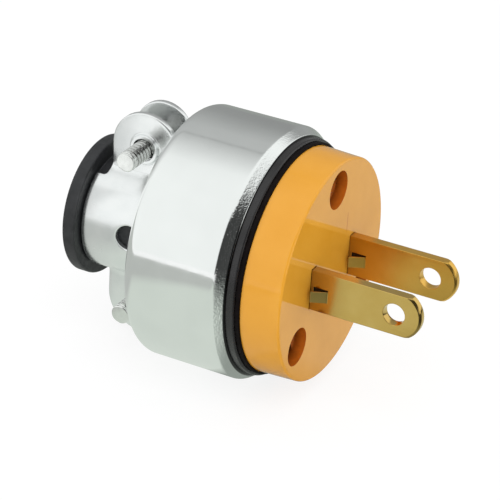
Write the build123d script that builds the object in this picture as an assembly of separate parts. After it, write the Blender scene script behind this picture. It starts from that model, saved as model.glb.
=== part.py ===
"""Steel-armoured industrial plug with two flat blades and a split cord clamp.

Sizes are in millimetres.  +X runs out along the blades, +Y goes from the near blade to the far
one, and +Z is up, across the width of the blades.  The origin is the centre of the front face.
"""
import os
from math import cos, radians, sin

from build123d import *

# Blades: flat brass strip, bent outwards behind the face to make a wiring pad
BLADE_SPACING = 12.7
BLADE_WIDTH = 6.35
BLADE_THICK = 1.52
BLADE_REACH = 17.2
BLADE_TIP_EASE = 0.63
BLADE_TIP_BEVEL = 0.3
BLADE_HOLE_D = 3.35
BLADE_HOLE_SETBACK = 4.15
BEND_R = 0.5
PAD_REACH = 6.0

# Tab lanced out of each blade in front of the face, which stops it from sliding back
TAB_STANDOFF = 0.5
TAB_LENGTH = 2.25
TAB_HEIGHT = 1.75
TAB_TOP = 0.35
TAB_RISE = 1.15
TAB_SKIN = 0.4
TAB_POCKET = 0.3
TAB_SLIT = 0.25

# Insulating face, with a small draft and a rounded front edge
FACE_D = 33.8
FACE_THICK = 6.0
FACE_DRAFT = 0.25
FACE_EDGE_R = 0.35

# Seal and black inner body, each a step wider than the piece in front of it
SEAL_THICK = 0.7
SEAL_STEP = 0.4
SEAL_EDGE_R = 0.2
FLANGE_THICK = 1.2
FLANGE_STEP = 0.4
FLANGE_EDGE_R = 0.3
SKIRT_WALL = 1.7
FLOOR_THICK = 2.0
BOSS_WALL = 0.95

# Drawn steel shell, its front edge rolled in to carry the flange
SHELL_LENGTH = 16.4
SHELL_WALL = 1.0
SHELL_FRONT_R = 1.3
SHELL_REAR_R = 1.8
LIP_SEAT = 0.9

# Screws: one thread size, three kinds of head
SCREW_D = 3.5
SCREW_POINT = 0.5
SLOT_WIDTH = 0.9
SLOT_DEPTH = 0.9
HEAD_CROWN_R = 0.8
FACE_HEAD_D = 5.3
FACE_HEAD_THICK = 2.0
FACE_HEAD_DEPTH = 1.4
FACE_SCREW_R = 12.9
FACE_SCREW_ANGLES = {"top": 90, "near": 218, "far": 322}
CLAMP_SCREW_LENGTH = 12.1
CLAMP_HEAD_D = 6.6
CLAMP_HEAD_THICK = 2.2
TERMINAL_HEAD_D = 5.6
TERMINAL_HEAD_THICK = 1.8
TERMINAL_TIP = 3.0
PLATE_THICK = 0.8
PLATE_HEIGHT = 7.0
NUT_FLATS = 6.35
NUT_THICK = 2.4

# Rubber cord bushing and the two pressed clamp halves that grip it
CORD_D = 10.0
BUSHING_WALL = 3.1
BUSHING_FLANGE_D = 21.4
BUSHING_FLANGE_THICK = 2.05
BUSHING_EDGE_R = 0.3
CLAMP_THICK = 1.0
CLAMP_GAP = 4.2
CLAMP_BEND_R = 1.0
CLAMP_SCREW_SPACING = 25.2
EAR_R = 5.5
FAR_EAR_WIDTH = 9.3
SADDLE_HEIGHT = 15.4
SADDLE_LIP = 1.6
SADDLE_CORNER_R = 0.4
COLLAR_WALL = 0.5
COLLAR_RISE = 0.65
SIDE_HOLE_D = 3.9
SIDE_HOLE_SETBACK = 4.9
SIDE_HOLE_RISE = 0.5
FOOT_WIDTH = 7.0
FOOT_REACH = 3.4

# Clearances
THREAD_PLAY = 0.05
SCREW_PLAY = 0.2
HEAD_PLAY = 0.25
BLADE_PLAY = 0.1
SKIRT_PLAY = 0.2
NECK_PLAY = 0.2
NUT_PLAY = 0.3
FOOT_PLAY = 0.1
EAR_PLAY = 0.2
BUSHING_PLAY = 0.25
CORD_PLAY = 1.0
TIP_PLAY = 0.3
SCREW_END_PLAY = 0.85

# Places along the axis, from the front face backwards
FACE_REAR = -FACE_THICK
PAD_REAR = FACE_REAR - BLADE_THICK
SEAL_REAR = FACE_REAR - SEAL_THICK
SHELL_FRONT = SEAL_REAR - FLANGE_THICK
SHELL_REAR = SHELL_FRONT - SHELL_LENGTH
WALL_INSIDE = SHELL_REAR + SHELL_WALL
BODY_REAR = WALL_INSIDE + NUT_THICK + NUT_PLAY
CLAMP_FRONT = WALL_INSIDE + CLAMP_THICK
CLAMP_AXIS = SHELL_REAR - EAR_PLAY - EAR_R
SADDLE_REAR = CLAMP_AXIS - EAR_R - SADDLE_LIP
BUSHING_SHOULDER = SADDLE_REAR - BUSHING_PLAY
BUSHING_REAR = BUSHING_SHOULDER - BUSHING_FLANGE_THICK
HEAD_SEAT = -FACE_HEAD_DEPTH - FACE_HEAD_THICK
FACE_SCREW_LENGTH = HEAD_SEAT - WALL_INSIDE - SCREW_END_PLAY

# Radii and offsets that follow from the sizes above
BLADE_TIP_R = BLADE_WIDTH / 2 + BLADE_TIP_EASE
FACE_R = FACE_D / 2
FACE_REAR_R = FACE_R + FACE_DRAFT
SEAL_R = FACE_REAR_R + SEAL_STEP
FLANGE_R = SEAL_R + FLANGE_STEP
SHELL_R = FLANGE_R + SHELL_FRONT_R
LIP_R = FLANGE_R - LIP_SEAT
SKIRT_R = LIP_R - SKIRT_PLAY
CHAMBER_R = SKIRT_R - SKIRT_WALL
SCREW_R = SCREW_D / 2
TAPPED_R = SCREW_R + THREAD_PLAY
CLEAR_R = SCREW_R + SCREW_PLAY
CORD_R = CORD_D / 2
SLEEVE_R = CORD_R + BUSHING_WALL
SADDLE_R = SLEEVE_R + CLAMP_THICK
EAR_INSIDE = CLAMP_GAP / 2
EAR_OUTSIDE = EAR_INSIDE + CLAMP_THICK
CLAMP_SCREW_Z = CLAMP_SCREW_SPACING / 2
EAR_TOP = CLAMP_SCREW_Z + EAR_R
TERMINAL_Y = BLADE_SPACING / 2 + BLADE_THICK / 2 + PAD_REACH / 2
FOOT_END = SADDLE_R + FOOT_REACH

# Two radii this close are the same one
SAME_SIZE = 1e-6


def rounded(outline, corners):
    """Round the named corners of a flat outline; corners lists ((u, v), radius)."""
    for (u, v), radius in corners:
        corner = outline.vertices().sort_by_distance((u, v, 0))[0]
        outline = fillet(corner, radius)
    return outline


def turned(points, corners=()):
    """Revolve a closed outline of (x, radius) points about the X axis."""
    outline = make_face(Polyline(*points, close=True))
    return revolve(rounded(outline, corners), Axis.X)


def along_x(sketch, start, end):
    """Extrude a (y, z) sketch from one x to another."""
    return extrude(Plane.YZ.offset(start) * sketch, amount=end - start)


def along_y(sketch, start, end):
    """Extrude an (x, z) sketch from one y to another."""
    return extrude(Plane.XZ.offset(-start) * sketch, amount=start - end)


def span(u0, u1, v0, v1):
    """Rectangle between two corners, in either order."""
    return Pos((u0 + u1) / 2, (v0 + v1) / 2) * Rectangle(abs(u1 - u0), abs(v1 - v0))


def screw(head_d, head_thick, length):
    """Slotted pan-head screw with its seat at z = 0 and its head towards +Z.

    The shank is plain, at the outside diameter of its thread.
    """
    head = Pos(0, 0, head_thick / 2) * Cylinder(head_d / 2, head_thick)
    head = fillet(head.edges().sort_by(Axis.Z)[-1], HEAD_CROWN_R)
    slot = Pos(0, 0, head_thick - SLOT_DEPTH / 2) * Box(head_d, SLOT_WIDTH, SLOT_DEPTH)
    shank = Pos(0, 0, -length / 2) * Cylinder(SCREW_R, length)
    shank = chamfer(shank.edges().sort_by(Axis.Z)[0], SCREW_POINT)
    return head - slot + shank


def face_screw_place(name):
    """(y, z) of a face screw."""
    angle = radians(FACE_SCREW_ANGLES[name])
    return FACE_SCREW_R * cos(angle), FACE_SCREW_R * sin(angle)


def insulator_face():
    """Moulded disc with blade slots, sunk screw holes and blind holes for the wiring screws."""
    disc = turned(
        [(0, 0), (0, FACE_R), (FACE_REAR, FACE_REAR_R), (FACE_REAR, 0)],
        [((0, FACE_R), FACE_EDGE_R)],
    )
    for name in FACE_SCREW_ANGLES:
        place = Pos(*face_screw_place(name))
        disc -= along_x(place * Circle(FACE_HEAD_D / 2 + HEAD_PLAY), HEAD_SEAT, 0)
        disc -= along_x(place * Circle(CLEAR_R), FACE_REAR, 0)
    for side in (-1, 1):
        slot_y = side * BLADE_SPACING / 2
        slot = Rectangle(BLADE_THICK + 2 * BLADE_PLAY, BLADE_WIDTH + 2 * BLADE_PLAY)
        disc -= along_x(Pos(slot_y, 0) * slot, FACE_REAR, 0)
        relief_y = slot_y + side * (BLADE_THICK / 2 + BEND_R + BLADE_PLAY)
        relief = span(slot_y, relief_y, -BLADE_WIDTH / 2 - BLADE_PLAY, BLADE_WIDTH / 2 + BLADE_PLAY)
        disc -= along_x(relief, FACE_REAR, FACE_REAR + BEND_R + BLADE_PLAY)
        blind = Pos(side * TERMINAL_Y, 0) * Circle(CLEAR_R)
        disc -= along_x(blind, FACE_REAR, FACE_REAR + TERMINAL_TIP + TIP_PLAY)
    return disc


def seal_ring():
    """Flat black ring between the face and the flange of the inner body."""
    return turned(
        [(FACE_REAR, CHAMBER_R), (FACE_REAR, SEAL_R), (SEAL_REAR, SEAL_R), (SEAL_REAR, CHAMBER_R)],
        [((FACE_REAR, SEAL_R), SEAL_EDGE_R)],
    )


def inner_body():
    """Black wiring cup: flange on the shell's lip, skirt, floor and three screw bosses."""
    floor_front = BODY_REAR + FLOOR_THICK
    cord_hole_r = CORD_R + CORD_PLAY
    cup = turned(
        [
            (SEAL_REAR, CHAMBER_R),
            (SEAL_REAR, FLANGE_R),
            (SHELL_FRONT, FLANGE_R),
            (SHELL_FRONT, SKIRT_R),
            (BODY_REAR, SKIRT_R),
            (BODY_REAR, cord_hole_r),
            (floor_front, cord_hole_r),
            (floor_front, CHAMBER_R),
        ],
        [((SEAL_REAR, FLANGE_R), FLANGE_EDGE_R)],
    )
    whole = along_x(Circle(SKIRT_R), BODY_REAR, SHELL_FRONT)
    for name in FACE_SCREW_ANGLES:
        boss = Pos(*face_screw_place(name)) * Circle(CLEAR_R + BOSS_WALL)
        cup += along_x(boss, BODY_REAR, SHELL_FRONT) & whole
    for name in FACE_SCREW_ANGLES:
        hole = Pos(*face_screw_place(name)) * Circle(CLEAR_R)
        cup -= along_x(hole, BODY_REAR, SHELL_FRONT)
    for side in (-1, 1):
        press = span(side * SADDLE_R, side * FOOT_END, -FOOT_WIDTH / 2, FOOT_WIDTH / 2)
        cup += along_x(press, CLAMP_FRONT + FOOT_PLAY, BODY_REAR)
    return cup


def steel_shell():
    """Drawn cup with a rolled front lip and a round hole for the neck of the clamp."""
    inside_r = SHELL_R - SHELL_WALL
    lip_inside = SHELL_FRONT - SHELL_WALL
    neck_hole_r = SADDLE_R + NECK_PLAY
    return turned(
        [
            (SHELL_FRONT, LIP_R),
            (SHELL_FRONT, SHELL_R),
            (SHELL_REAR, SHELL_R),
            (SHELL_REAR, neck_hole_r),
            (WALL_INSIDE, neck_hole_r),
            (WALL_INSIDE, inside_r),
            (lip_inside, inside_r),
            (lip_inside, LIP_R),
        ],
        [
            ((SHELL_FRONT, SHELL_R), SHELL_FRONT_R),
            ((SHELL_REAR, SHELL_R), SHELL_REAR_R),
            ((WALL_INSIDE, inside_r), SHELL_REAR_R - SHELL_WALL),
            ((lip_inside, inside_r), SHELL_FRONT_R - SHELL_WALL),
        ],
    )


def lanced_tab(skin_y):
    """Tab bent out of the -Y skin of a blade, and the pocket that it leaves.

    Both are (x, y) outlines drawn along Z.  The tab is hinged at its front end and rises towards the
    face, and the pocket goes on above it as an open slit.
    """
    hinge = TAB_STANDOFF + TAB_LENGTH
    root = TAB_STANDOFF + TAB_LENGTH * (TAB_RISE - TAB_SKIN + TAB_POCKET) / TAB_RISE
    hinge_line = [(hinge, 0), (root, TAB_POCKET)]
    tab = Polyline((TAB_STANDOFF, -TAB_RISE), *hinge_line, (TAB_STANDOFF, TAB_SKIN - TAB_RISE), close=True)
    pocket = Polyline((TAB_STANDOFF, 0), *hinge_line, (TAB_STANDOFF, TAB_POCKET), close=True)
    foot = Pos(0, skin_y, TAB_TOP - TAB_HEIGHT)
    tab = extrude(make_face(tab), amount=TAB_HEIGHT, dir=(0, 0, 1))
    pocket = extrude(make_face(pocket), amount=TAB_HEIGHT + TAB_SLIT, dir=(0, 0, 1))
    return foot * tab, foot * pocket


def blade(side):
    """Contact blade at -Y (side -1) or +Y (side 1), with its wiring pad bent outwards."""
    middle = side * BLADE_SPACING / 2
    inner = middle - side * BLADE_THICK / 2
    outer = middle + side * BLADE_THICK / 2
    pad_end = outer + side * PAD_REACH
    bend = make_face(
        Polyline(
            (BLADE_REACH, inner),
            (PAD_REAR, inner),
            (PAD_REAR, pad_end),
            (FACE_REAR, pad_end),
            (FACE_REAR, outer),
            (BLADE_REACH, outer),
            close=True,
        )
    )
    bend = rounded(bend, [((PAD_REAR, inner), BEND_R + BLADE_THICK), ((FACE_REAR, outer), BEND_R)])
    strip = extrude(bend, amount=BLADE_WIDTH / 2, both=True)

    tip_centre = BLADE_REACH - BLADE_TIP_R
    reach_y = BLADE_SPACING + PAD_REACH
    outline = span(PAD_REAR, tip_centre, -BLADE_WIDTH, BLADE_WIDTH)
    outline += Pos(tip_centre, 0) * Circle(BLADE_TIP_R)
    strip &= along_y(outline, -reach_y, reach_y)
    arcs = strip.edges().filter_by(GeomType.CIRCLE)
    tip_arcs = arcs.filter_by(lambda arc: abs(arc.radius - BLADE_TIP_R) < SAME_SIZE)
    strip = chamfer(tip_arcs, BLADE_TIP_BEVEL)

    hole = Pos(BLADE_REACH - BLADE_HOLE_SETBACK, 0) * Circle(BLADE_HOLE_D / 2)
    strip -= along_y(hole, -reach_y, reach_y)
    strip -= along_x(Pos(side * TERMINAL_Y, 0) * Circle(TAPPED_R), PAD_REAR, FACE_REAR)
    tab, pocket = lanced_tab(middle - BLADE_THICK / 2)
    return strip - pocket + tab


def terminal_plate(side):
    """Square pressure plate that holds a bared wire down on the wiring pad."""
    plate = Pos(side * TERMINAL_Y, 0) * (Rectangle(PAD_REACH, PLATE_HEIGHT) - Circle(CLEAR_R))
    return along_x(plate, PAD_REAR, PAD_REAR - PLATE_THICK)


def terminal_screw(side):
    """Wiring screw, its head to the rear."""
    length = PLATE_THICK + BLADE_THICK + TERMINAL_TIP
    seat = Plane((PAD_REAR - PLATE_THICK, side * TERMINAL_Y, 0), x_dir=(0, 0, 1), z_dir=(-1, 0, 0))
    return seat.location * screw(TERMINAL_HEAD_D, TERMINAL_HEAD_THICK, length)


def face_screw(name):
    """Long screw that draws the face, seal and body on to the shell."""
    seat = Plane((HEAD_SEAT, *face_screw_place(name)), x_dir=(0, 1, 0), z_dir=(1, 0, 0))
    return seat.location * screw(FACE_HEAD_D, FACE_HEAD_THICK, FACE_SCREW_LENGTH)


def weld_nut(name):
    """Hexagon nut welded inside the rear wall of the shell, one flat towards the axis."""
    turn = Rot(0, 0, FACE_SCREW_ANGLES[name] - 90)
    hexagon = RegularPolygon(NUT_FLATS / 2, 6, major_radius=False)
    nut = Pos(*face_screw_place(name)) * turn * (hexagon - Circle(TAPPED_R))
    return along_x(nut, WALL_INSIDE, WALL_INSIDE + NUT_THICK)


def clamp_half(side):
    """Pressed half clamp: saddle round the bushing, two ears, and a foot inside the shell.

    The section across the axis gives the bent sheet, and the outline seen along Y trims it.
    The -Y half has tapped collars in round ears, the +Y half plain holes in narrower ears.
    """
    near = side < 0
    ring = Circle(SADDLE_R) - Circle(SLEEVE_R)
    ring &= span(side * EAR_INSIDE, side * SADDLE_R, -SADDLE_R, SADDLE_R)
    ears = span(side * EAR_INSIDE, side * EAR_OUTSIDE, -EAR_TOP, EAR_TOP) - Circle(SLEEVE_R)
    root_inside = (SLEEVE_R**2 - EAR_INSIDE**2) ** 0.5
    root_outside = (SADDLE_R**2 - EAR_OUTSIDE**2) ** 0.5
    section = rounded(
        ring + ears,
        [((side * EAR_INSIDE, end * root_inside), CLAMP_BEND_R) for end in (-1, 1)]
        + [((side * EAR_OUTSIDE, end * root_outside), CLAMP_BEND_R) for end in (-1, 1)],
    )

    half_width = EAR_R if near else FAR_EAR_WIDTH / 2
    saddle = span(SADDLE_REAR, CLAMP_FRONT, -SADDLE_HEIGHT / 2, SADDLE_HEIGHT / 2)
    round_z = EAR_TOP - half_width
    outline = saddle + span(CLAMP_AXIS - half_width, CLAMP_AXIS + half_width, -round_z, round_z)
    for end in (-1, 1):
        outline += Pos(CLAMP_AXIS, end * round_z) * Circle(half_width)
    outline = rounded(
        outline,
        [((CLAMP_AXIS - half_width, end * SADDLE_HEIGHT / 2), SADDLE_CORNER_R) for end in (-1, 1)]
        + [((SADDLE_REAR, end * SADDLE_HEIGHT / 2), SADDLE_CORNER_R) for end in (-1, 1)],
    )
    half = along_x(section, SADDLE_REAR, CLAMP_FRONT) & along_y(outline, 0, side * SADDLE_R)

    foot = span(side * SLEEVE_R, side * FOOT_END, -FOOT_WIDTH / 2, FOOT_WIDTH / 2)
    half += along_x(foot, WALL_INSIDE, CLAMP_FRONT)
    for end in (-1, 1):
        axis = Pos(CLAMP_AXIS, end * CLAMP_SCREW_Z)
        if near:
            collar_end = side * (EAR_OUTSIDE + COLLAR_RISE)
            half += along_y(axis * Circle(TAPPED_R + COLLAR_WALL), side * EAR_OUTSIDE, collar_end)
            half -= along_y(axis * Circle(TAPPED_R), side * EAR_INSIDE, collar_end)
        else:
            half -= along_y(axis * Circle(CLEAR_R), side * EAR_INSIDE, side * EAR_OUTSIDE)
    if near:
        side_hole = Pos(SHELL_REAR - SIDE_HOLE_SETBACK, SIDE_HOLE_RISE) * Circle(SIDE_HOLE_D / 2)
        half -= along_y(side_hole, 0, side * SADDLE_R)
    return half


def clamp_screw(end):
    """Clamp screw at the top (end 1) or bottom (end -1), its head on the +Y ear."""
    seat = Plane((CLAMP_AXIS, EAR_OUTSIDE, end * CLAMP_SCREW_Z), x_dir=(1, 0, 0), z_dir=(0, 1, 0))
    return seat.location * screw(CLAMP_HEAD_D, CLAMP_HEAD_THICK, CLAMP_SCREW_LENGTH)


def cord_bushing():
    """Rubber sleeve for the cord, with a flange outside the clamp."""
    flange_r = BUSHING_FLANGE_D / 2
    return turned(
        [
            (CLAMP_FRONT, CORD_R),
            (CLAMP_FRONT, SLEEVE_R),
            (BUSHING_SHOULDER, SLEEVE_R),
            (BUSHING_SHOULDER, flange_r),
            (BUSHING_REAR, flange_r),
            (BUSHING_REAR, CORD_R),
        ],
        [
            ((BUSHING_SHOULDER, flange_r), BUSHING_EDGE_R),
            ((BUSHING_REAR, flange_r), BUSHING_EDGE_R),
            ((BUSHING_REAR, CORD_R), BUSHING_EDGE_R),
        ],
    )


SIDES = {"near": -1, "far": 1}
ENDS = {"upper": 1, "lower": -1}

nodes = {
    "insulator_face": insulator_face(),
    "seal_ring": seal_ring(),
    "inner_body": inner_body(),
    "steel_shell": steel_shell(),
    "cord_bushing": cord_bushing(),
}
for side_name, side_sign in SIDES.items():
    nodes[f"blade_{side_name}"] = blade(side_sign)
    nodes[f"terminal_plate_{side_name}"] = terminal_plate(side_sign)
    nodes[f"terminal_screw_{side_name}"] = terminal_screw(side_sign)
    nodes[f"clamp_half_{side_name}"] = clamp_half(side_sign)
for screw_name in FACE_SCREW_ANGLES:
    nodes[f"face_screw_{screw_name}"] = face_screw(screw_name)
    nodes[f"weld_nut_{screw_name}"] = weld_nut(screw_name)
for end_name, end_sign in ENDS.items():
    nodes[f"clamp_screw_{end_name}"] = clamp_screw(end_sign)

os.makedirs("parts", exist_ok=True)
for node_name, solid in nodes.items():
    export_step(solid, f"parts/{node_name}.step")
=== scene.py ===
# %% [markdown]
# # A steel-armoured plug, dressed around its CAD frame
# The plug has an orange moulded face with two brass blades, a black seal and wiring cup behind it, a
# drawn steel shell, and a split clamp at the rear that grips a rubber bushing.  The CAD model already
# holds every size and place, so this lesson loads it as a fixed frame, rebuilds the pieces whose looks
# need finer surfaces, and gives each piece its finish.  All sizes below are in millimetres.

# %% Load the frame
from math import cos, pi, radians, sin

import bmesh
import bpy
import numpy as np
from mathutils import Matrix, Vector
from mathutils.geometry import delaunay_2d_cdt


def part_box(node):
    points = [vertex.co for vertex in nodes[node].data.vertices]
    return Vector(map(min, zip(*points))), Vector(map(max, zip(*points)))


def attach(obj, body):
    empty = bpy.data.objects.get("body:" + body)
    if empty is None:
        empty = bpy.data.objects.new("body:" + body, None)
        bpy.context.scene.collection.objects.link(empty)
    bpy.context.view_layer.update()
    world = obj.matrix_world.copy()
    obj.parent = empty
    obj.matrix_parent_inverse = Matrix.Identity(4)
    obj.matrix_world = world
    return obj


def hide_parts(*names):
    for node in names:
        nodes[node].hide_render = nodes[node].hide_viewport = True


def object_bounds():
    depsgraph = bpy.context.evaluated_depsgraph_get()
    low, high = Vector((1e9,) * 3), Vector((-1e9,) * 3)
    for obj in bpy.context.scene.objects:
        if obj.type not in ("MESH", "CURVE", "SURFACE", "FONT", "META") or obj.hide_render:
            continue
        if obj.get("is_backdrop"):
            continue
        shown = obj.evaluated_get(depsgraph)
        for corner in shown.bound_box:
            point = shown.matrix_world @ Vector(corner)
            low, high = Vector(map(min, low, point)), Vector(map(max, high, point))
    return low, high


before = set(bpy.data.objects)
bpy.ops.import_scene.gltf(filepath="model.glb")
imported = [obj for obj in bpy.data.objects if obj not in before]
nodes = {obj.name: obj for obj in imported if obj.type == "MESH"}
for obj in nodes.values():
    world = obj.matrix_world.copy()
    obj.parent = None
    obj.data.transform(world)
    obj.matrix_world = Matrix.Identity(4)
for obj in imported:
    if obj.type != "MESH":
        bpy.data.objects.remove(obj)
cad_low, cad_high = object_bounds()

MM = 0.001
print("CAD box in mm:", [round((high - low) / MM, 2) for low, high in zip(cad_low, cad_high)])

# %% [markdown]
# ## From a grid of points to a mesh
# Most of the plug was turned, drawn or pressed, so its surfaces are grids: one direction follows an
# outline and the other follows a circle or a path.  One helper turns such a grid into a patch, which is
# an array of points and an array of faces, and a second one joins patches into a piece and hangs it on
# the frame.  Working on whole arrays keeps thousands of points quick.


# %% Patches and pieces
def grid_patch(points, wrap_rows=False, wrap_columns=False):
    """Patch from points[i, j]: each face has the corners (i, j), (i+1, j), (i+1, j+1), (i, j+1)."""
    rows, columns = points.shape[:2]
    index = np.arange(rows * columns).reshape(rows, columns)
    if wrap_rows:
        index = np.vstack([index, index[:1]])
    if wrap_columns:
        index = np.hstack([index, index[:, :1]])
    corners = [index[:-1, :-1], index[1:, :-1], index[1:, 1:], index[:-1, 1:]]
    return points.reshape(-1, 3), np.stack(corners, axis=-1).reshape(-1, 4)


def mesh_from_patches(name, patches):
    """One mesh of all the patches, each face's corners moved on by the points before its patch."""
    first = np.cumsum([0] + [len(points) for points, _ in patches])
    faces = [face for start, (_, patch) in zip(first, patches) for face in (patch + start).tolist()]
    points = np.concatenate([points for points, _ in patches])
    mesh = bpy.data.meshes.new(name)
    mesh.from_pydata((points * MM).tolist(), [], faces)
    return mesh


MERGE_MM = 0.0005


def piece_from_patches(name, patches):
    """Object whose patches are merged where they meet, with faces turned outwards and shaded smooth."""
    mesh = mesh_from_patches(name, patches)
    shape = bmesh.new()
    shape.from_mesh(mesh)
    bmesh.ops.remove_doubles(shape, verts=shape.verts, dist=MERGE_MM * MM)
    bmesh.ops.dissolve_degenerate(shape, edges=shape.edges, dist=MERGE_MM * MM)
    bmesh.ops.recalc_face_normals(shape, faces=shape.faces)
    shape.to_mesh(mesh)
    shape.free()
    mesh.shade_smooth()
    return hung_piece(name, mesh)


def hung_piece(name, mesh):
    """Put a mesh into the scene as a piece that rides on the plug."""
    piece = bpy.data.objects.new(name, mesh)
    bpy.context.scene.collection.objects.link(piece)
    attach(piece, "root")
    print(f"{name}: {len(mesh.vertices)} points, {len(mesh.polygons)} faces")
    return piece


def box_mm(node):
    """Lowest and highest corner of a CAD node, in mm."""
    low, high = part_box(node)
    return np.array(low) / MM, np.array(high) / MM


# %% [markdown]
# ## Outlines with rounded corners
# No moulded or drawn edge is truly sharp, and it is the small radius that catches the light.  An outline
# is therefore a list of corners, each with its own radius.  Long straight runs get points near their
# ends as well, because smooth shading would otherwise bend the light across the whole run.

# %% Rounded outlines
ARC_STEPS = 10
RUN_STEPS = 12


def corner_arcs(corners):
    """Arc points at each corner (u, v, radius) of a closed outline.

    The arc's centre lies on the corner's bisector, radius / sin(half angle) away, and the arc turns
    between the two tangent points by spherical interpolation.
    """
    points = np.array([corner[:2] for corner in corners], float)
    radii = np.array([corner[2] for corner in corners], float)[:, None]
    back = np.roll(points, 1, axis=0) - points
    ahead = np.roll(points, -1, axis=0) - points
    back /= np.linalg.norm(back, axis=1, keepdims=True)
    ahead /= np.linalg.norm(ahead, axis=1, keepdims=True)
    half = np.arccos(np.clip((back * ahead).sum(axis=1, keepdims=True), -1, 1)) / 2
    middle = back + ahead
    middle /= np.linalg.norm(middle, axis=1, keepdims=True)
    centre = points + middle * radii / np.sin(half)
    start = points + back * radii / np.tan(half) - centre
    end = points + ahead * radii / np.tan(half) - centre
    turn = pi - 2 * half
    step = np.linspace(0, 1, ARC_STEPS + 1)
    lead = np.sin((1 - step) * turn) / np.sin(turn)
    trail = np.sin(step * turn) / np.sin(turn)
    return centre[:, None] + lead[..., None] * start[:, None] + trail[..., None] * end[:, None]


def rounded_outline(corners):
    """Closed (u, v) outline: the corner arcs, and runs between them divided by a cosine rule."""
    arcs = corner_arcs(corners)
    run = (1 - np.cos(pi * np.arange(1, RUN_STEPS) / RUN_STEPS)) / 2
    leave = arcs[:, -1:]
    arrive = np.roll(arcs[:, :1], -1, axis=0)
    runs = leave + (arrive - leave) * run[:, None]
    return np.concatenate([arcs, runs], axis=1).reshape(-1, 2)


AROUND = 192


def turned_patch(outline):
    """Outline (x, radius) carried round the X axis: (x, -r cos a, r sin a), closed both ways."""
    angle = np.linspace(0, 2 * pi, AROUND, endpoint=False)
    x, r = outline[:, :1], outline[:, 1:]
    points = np.stack([x + 0 * angle, -r * np.cos(angle), r * np.sin(angle)], axis=-1)
    return grid_patch(points, True, True)


def turned_piece(name, corners):
    """Closed solid of revolution from the corners of its half section."""
    return piece_from_patches(name, [turned_patch(rounded_outline(corners))])


# %% [markdown]
# ## The drawn steel shell
# A press draws the shell from sheet as a cup, pierces the hole for the clamp's neck, and rolls the front
# edge inwards.  Its look is all reflection, so it needs a section that turns smoothly from the side
# into the lip.  It could be a subdivided cylinder, but an exact section carried round the axis keeps the
# CAD sizes and gives clean highlights.  The photograph shows that the curl has a fold where it leaves the
# side, so it is drawn as a short cone inside the plain radius of the CAD section.

# %% Shell
shell_low, shell_high = box_mm("steel_shell")
SHELL_REAR, SHELL_FRONT = shell_low[0], shell_high[0]
SHELL_R = shell_high[2]
SHELL_WALL = 1.0
SHELL_FRONT_R = 1.3
SHELL_REAR_R = 1.8
CURL_REACH = 1.5
CURL_END_R = 18.2
CURL_FOLD_R = 1.0
CURL_EDGE_R = 0.35
LIP_R = 17.05
NECK_HOLE_R = 9.3
SHEET_EDGE_R = 0.2

inside_r = SHELL_R - SHELL_WALL
wall_inside = SHELL_REAR + SHELL_WALL
lip_inside = SHELL_FRONT - SHELL_WALL
shell = turned_piece("drawn_shell", [
    (SHELL_FRONT, LIP_R, SHEET_EDGE_R),
    (SHELL_FRONT, CURL_END_R, CURL_EDGE_R),
    (SHELL_FRONT - CURL_REACH, SHELL_R, CURL_FOLD_R),
    (SHELL_REAR, SHELL_R, SHELL_REAR_R),
    (SHELL_REAR, NECK_HOLE_R, SHEET_EDGE_R),
    (wall_inside, NECK_HOLE_R, SHEET_EDGE_R),
    (wall_inside, inside_r, SHELL_REAR_R - SHELL_WALL),
    (lip_inside, inside_r, SHELL_FRONT_R - SHELL_WALL),
    (lip_inside, LIP_R, SHEET_EDGE_R),
])
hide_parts("steel_shell")

# %% [markdown]
# ## Seal ring and cord bushing
# Both are moulded rings.  The seal is a flat washer that shows as a thin black step behind the face, and
# the bushing is a sleeve with a round flange.  They are turned sections too, with small corner radii,
# because rubber never fills the last sharp corner of its mould.

# %% Seal ring and bushing
seal_low, seal_high = box_mm("seal_ring")
CHAMBER_R = 15.15
SEAL_EDGE_R = 0.2
seal = turned_piece("seal_washer", [
    (seal_high[0], CHAMBER_R, SEAL_EDGE_R / 2),
    (seal_high[0], seal_high[2], SEAL_EDGE_R),
    (seal_low[0], seal_high[2], SEAL_EDGE_R / 2),
    (seal_low[0], CHAMBER_R, SEAL_EDGE_R / 2),
])
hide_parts("seal_ring")

bushing_low, bushing_high = box_mm("cord_bushing")
CORD_R = 5.0
SLEEVE_R = 8.1
FLANGE_THICK = 2.05
FLANGE_EDGE_R = 0.3
shoulder = bushing_low[0] + FLANGE_THICK
bushing = turned_piece("rubber_bushing", [
    (bushing_high[0], CORD_R, FLANGE_EDGE_R),
    (bushing_high[0], SLEEVE_R, FLANGE_EDGE_R),
    (shoulder, SLEEVE_R, FLANGE_EDGE_R / 2),
    (shoulder, bushing_high[2], FLANGE_EDGE_R),
    (bushing_low[0], bushing_high[2], FLANGE_EDGE_R),
    (bushing_low[0], CORD_R, FLANGE_EDGE_R),
])
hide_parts("cord_bushing")

# %% [markdown]
# ## Screws with real threads
# The thread ends of the clamp screws stand out in plain view, so they need a true helix.  A thread is a
# radius that depends on both the turn and the length: going once round moves the groove on by one pitch.
# The slotted head is a D-shaped section carried across the slot, which keeps the slot's walls straight.

# %% Screw surfaces
SCREW_R = 1.75
PITCH = 0.79
THREAD_DEPTH = 0.42
PILOT_LENGTH = 1.1
PILOT_R = 1.5
PILOT_EDGE_R = 0.25
THREAD_AROUND = 56
STEPS_PER_PITCH = 14
VEE_FLAT = 0.15
VEE_REACH = 0.75
SLOT_WIDTH = 0.9
SLOT_DEPTH = 0.9
HEAD_CROWN_R = 0.8


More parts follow.
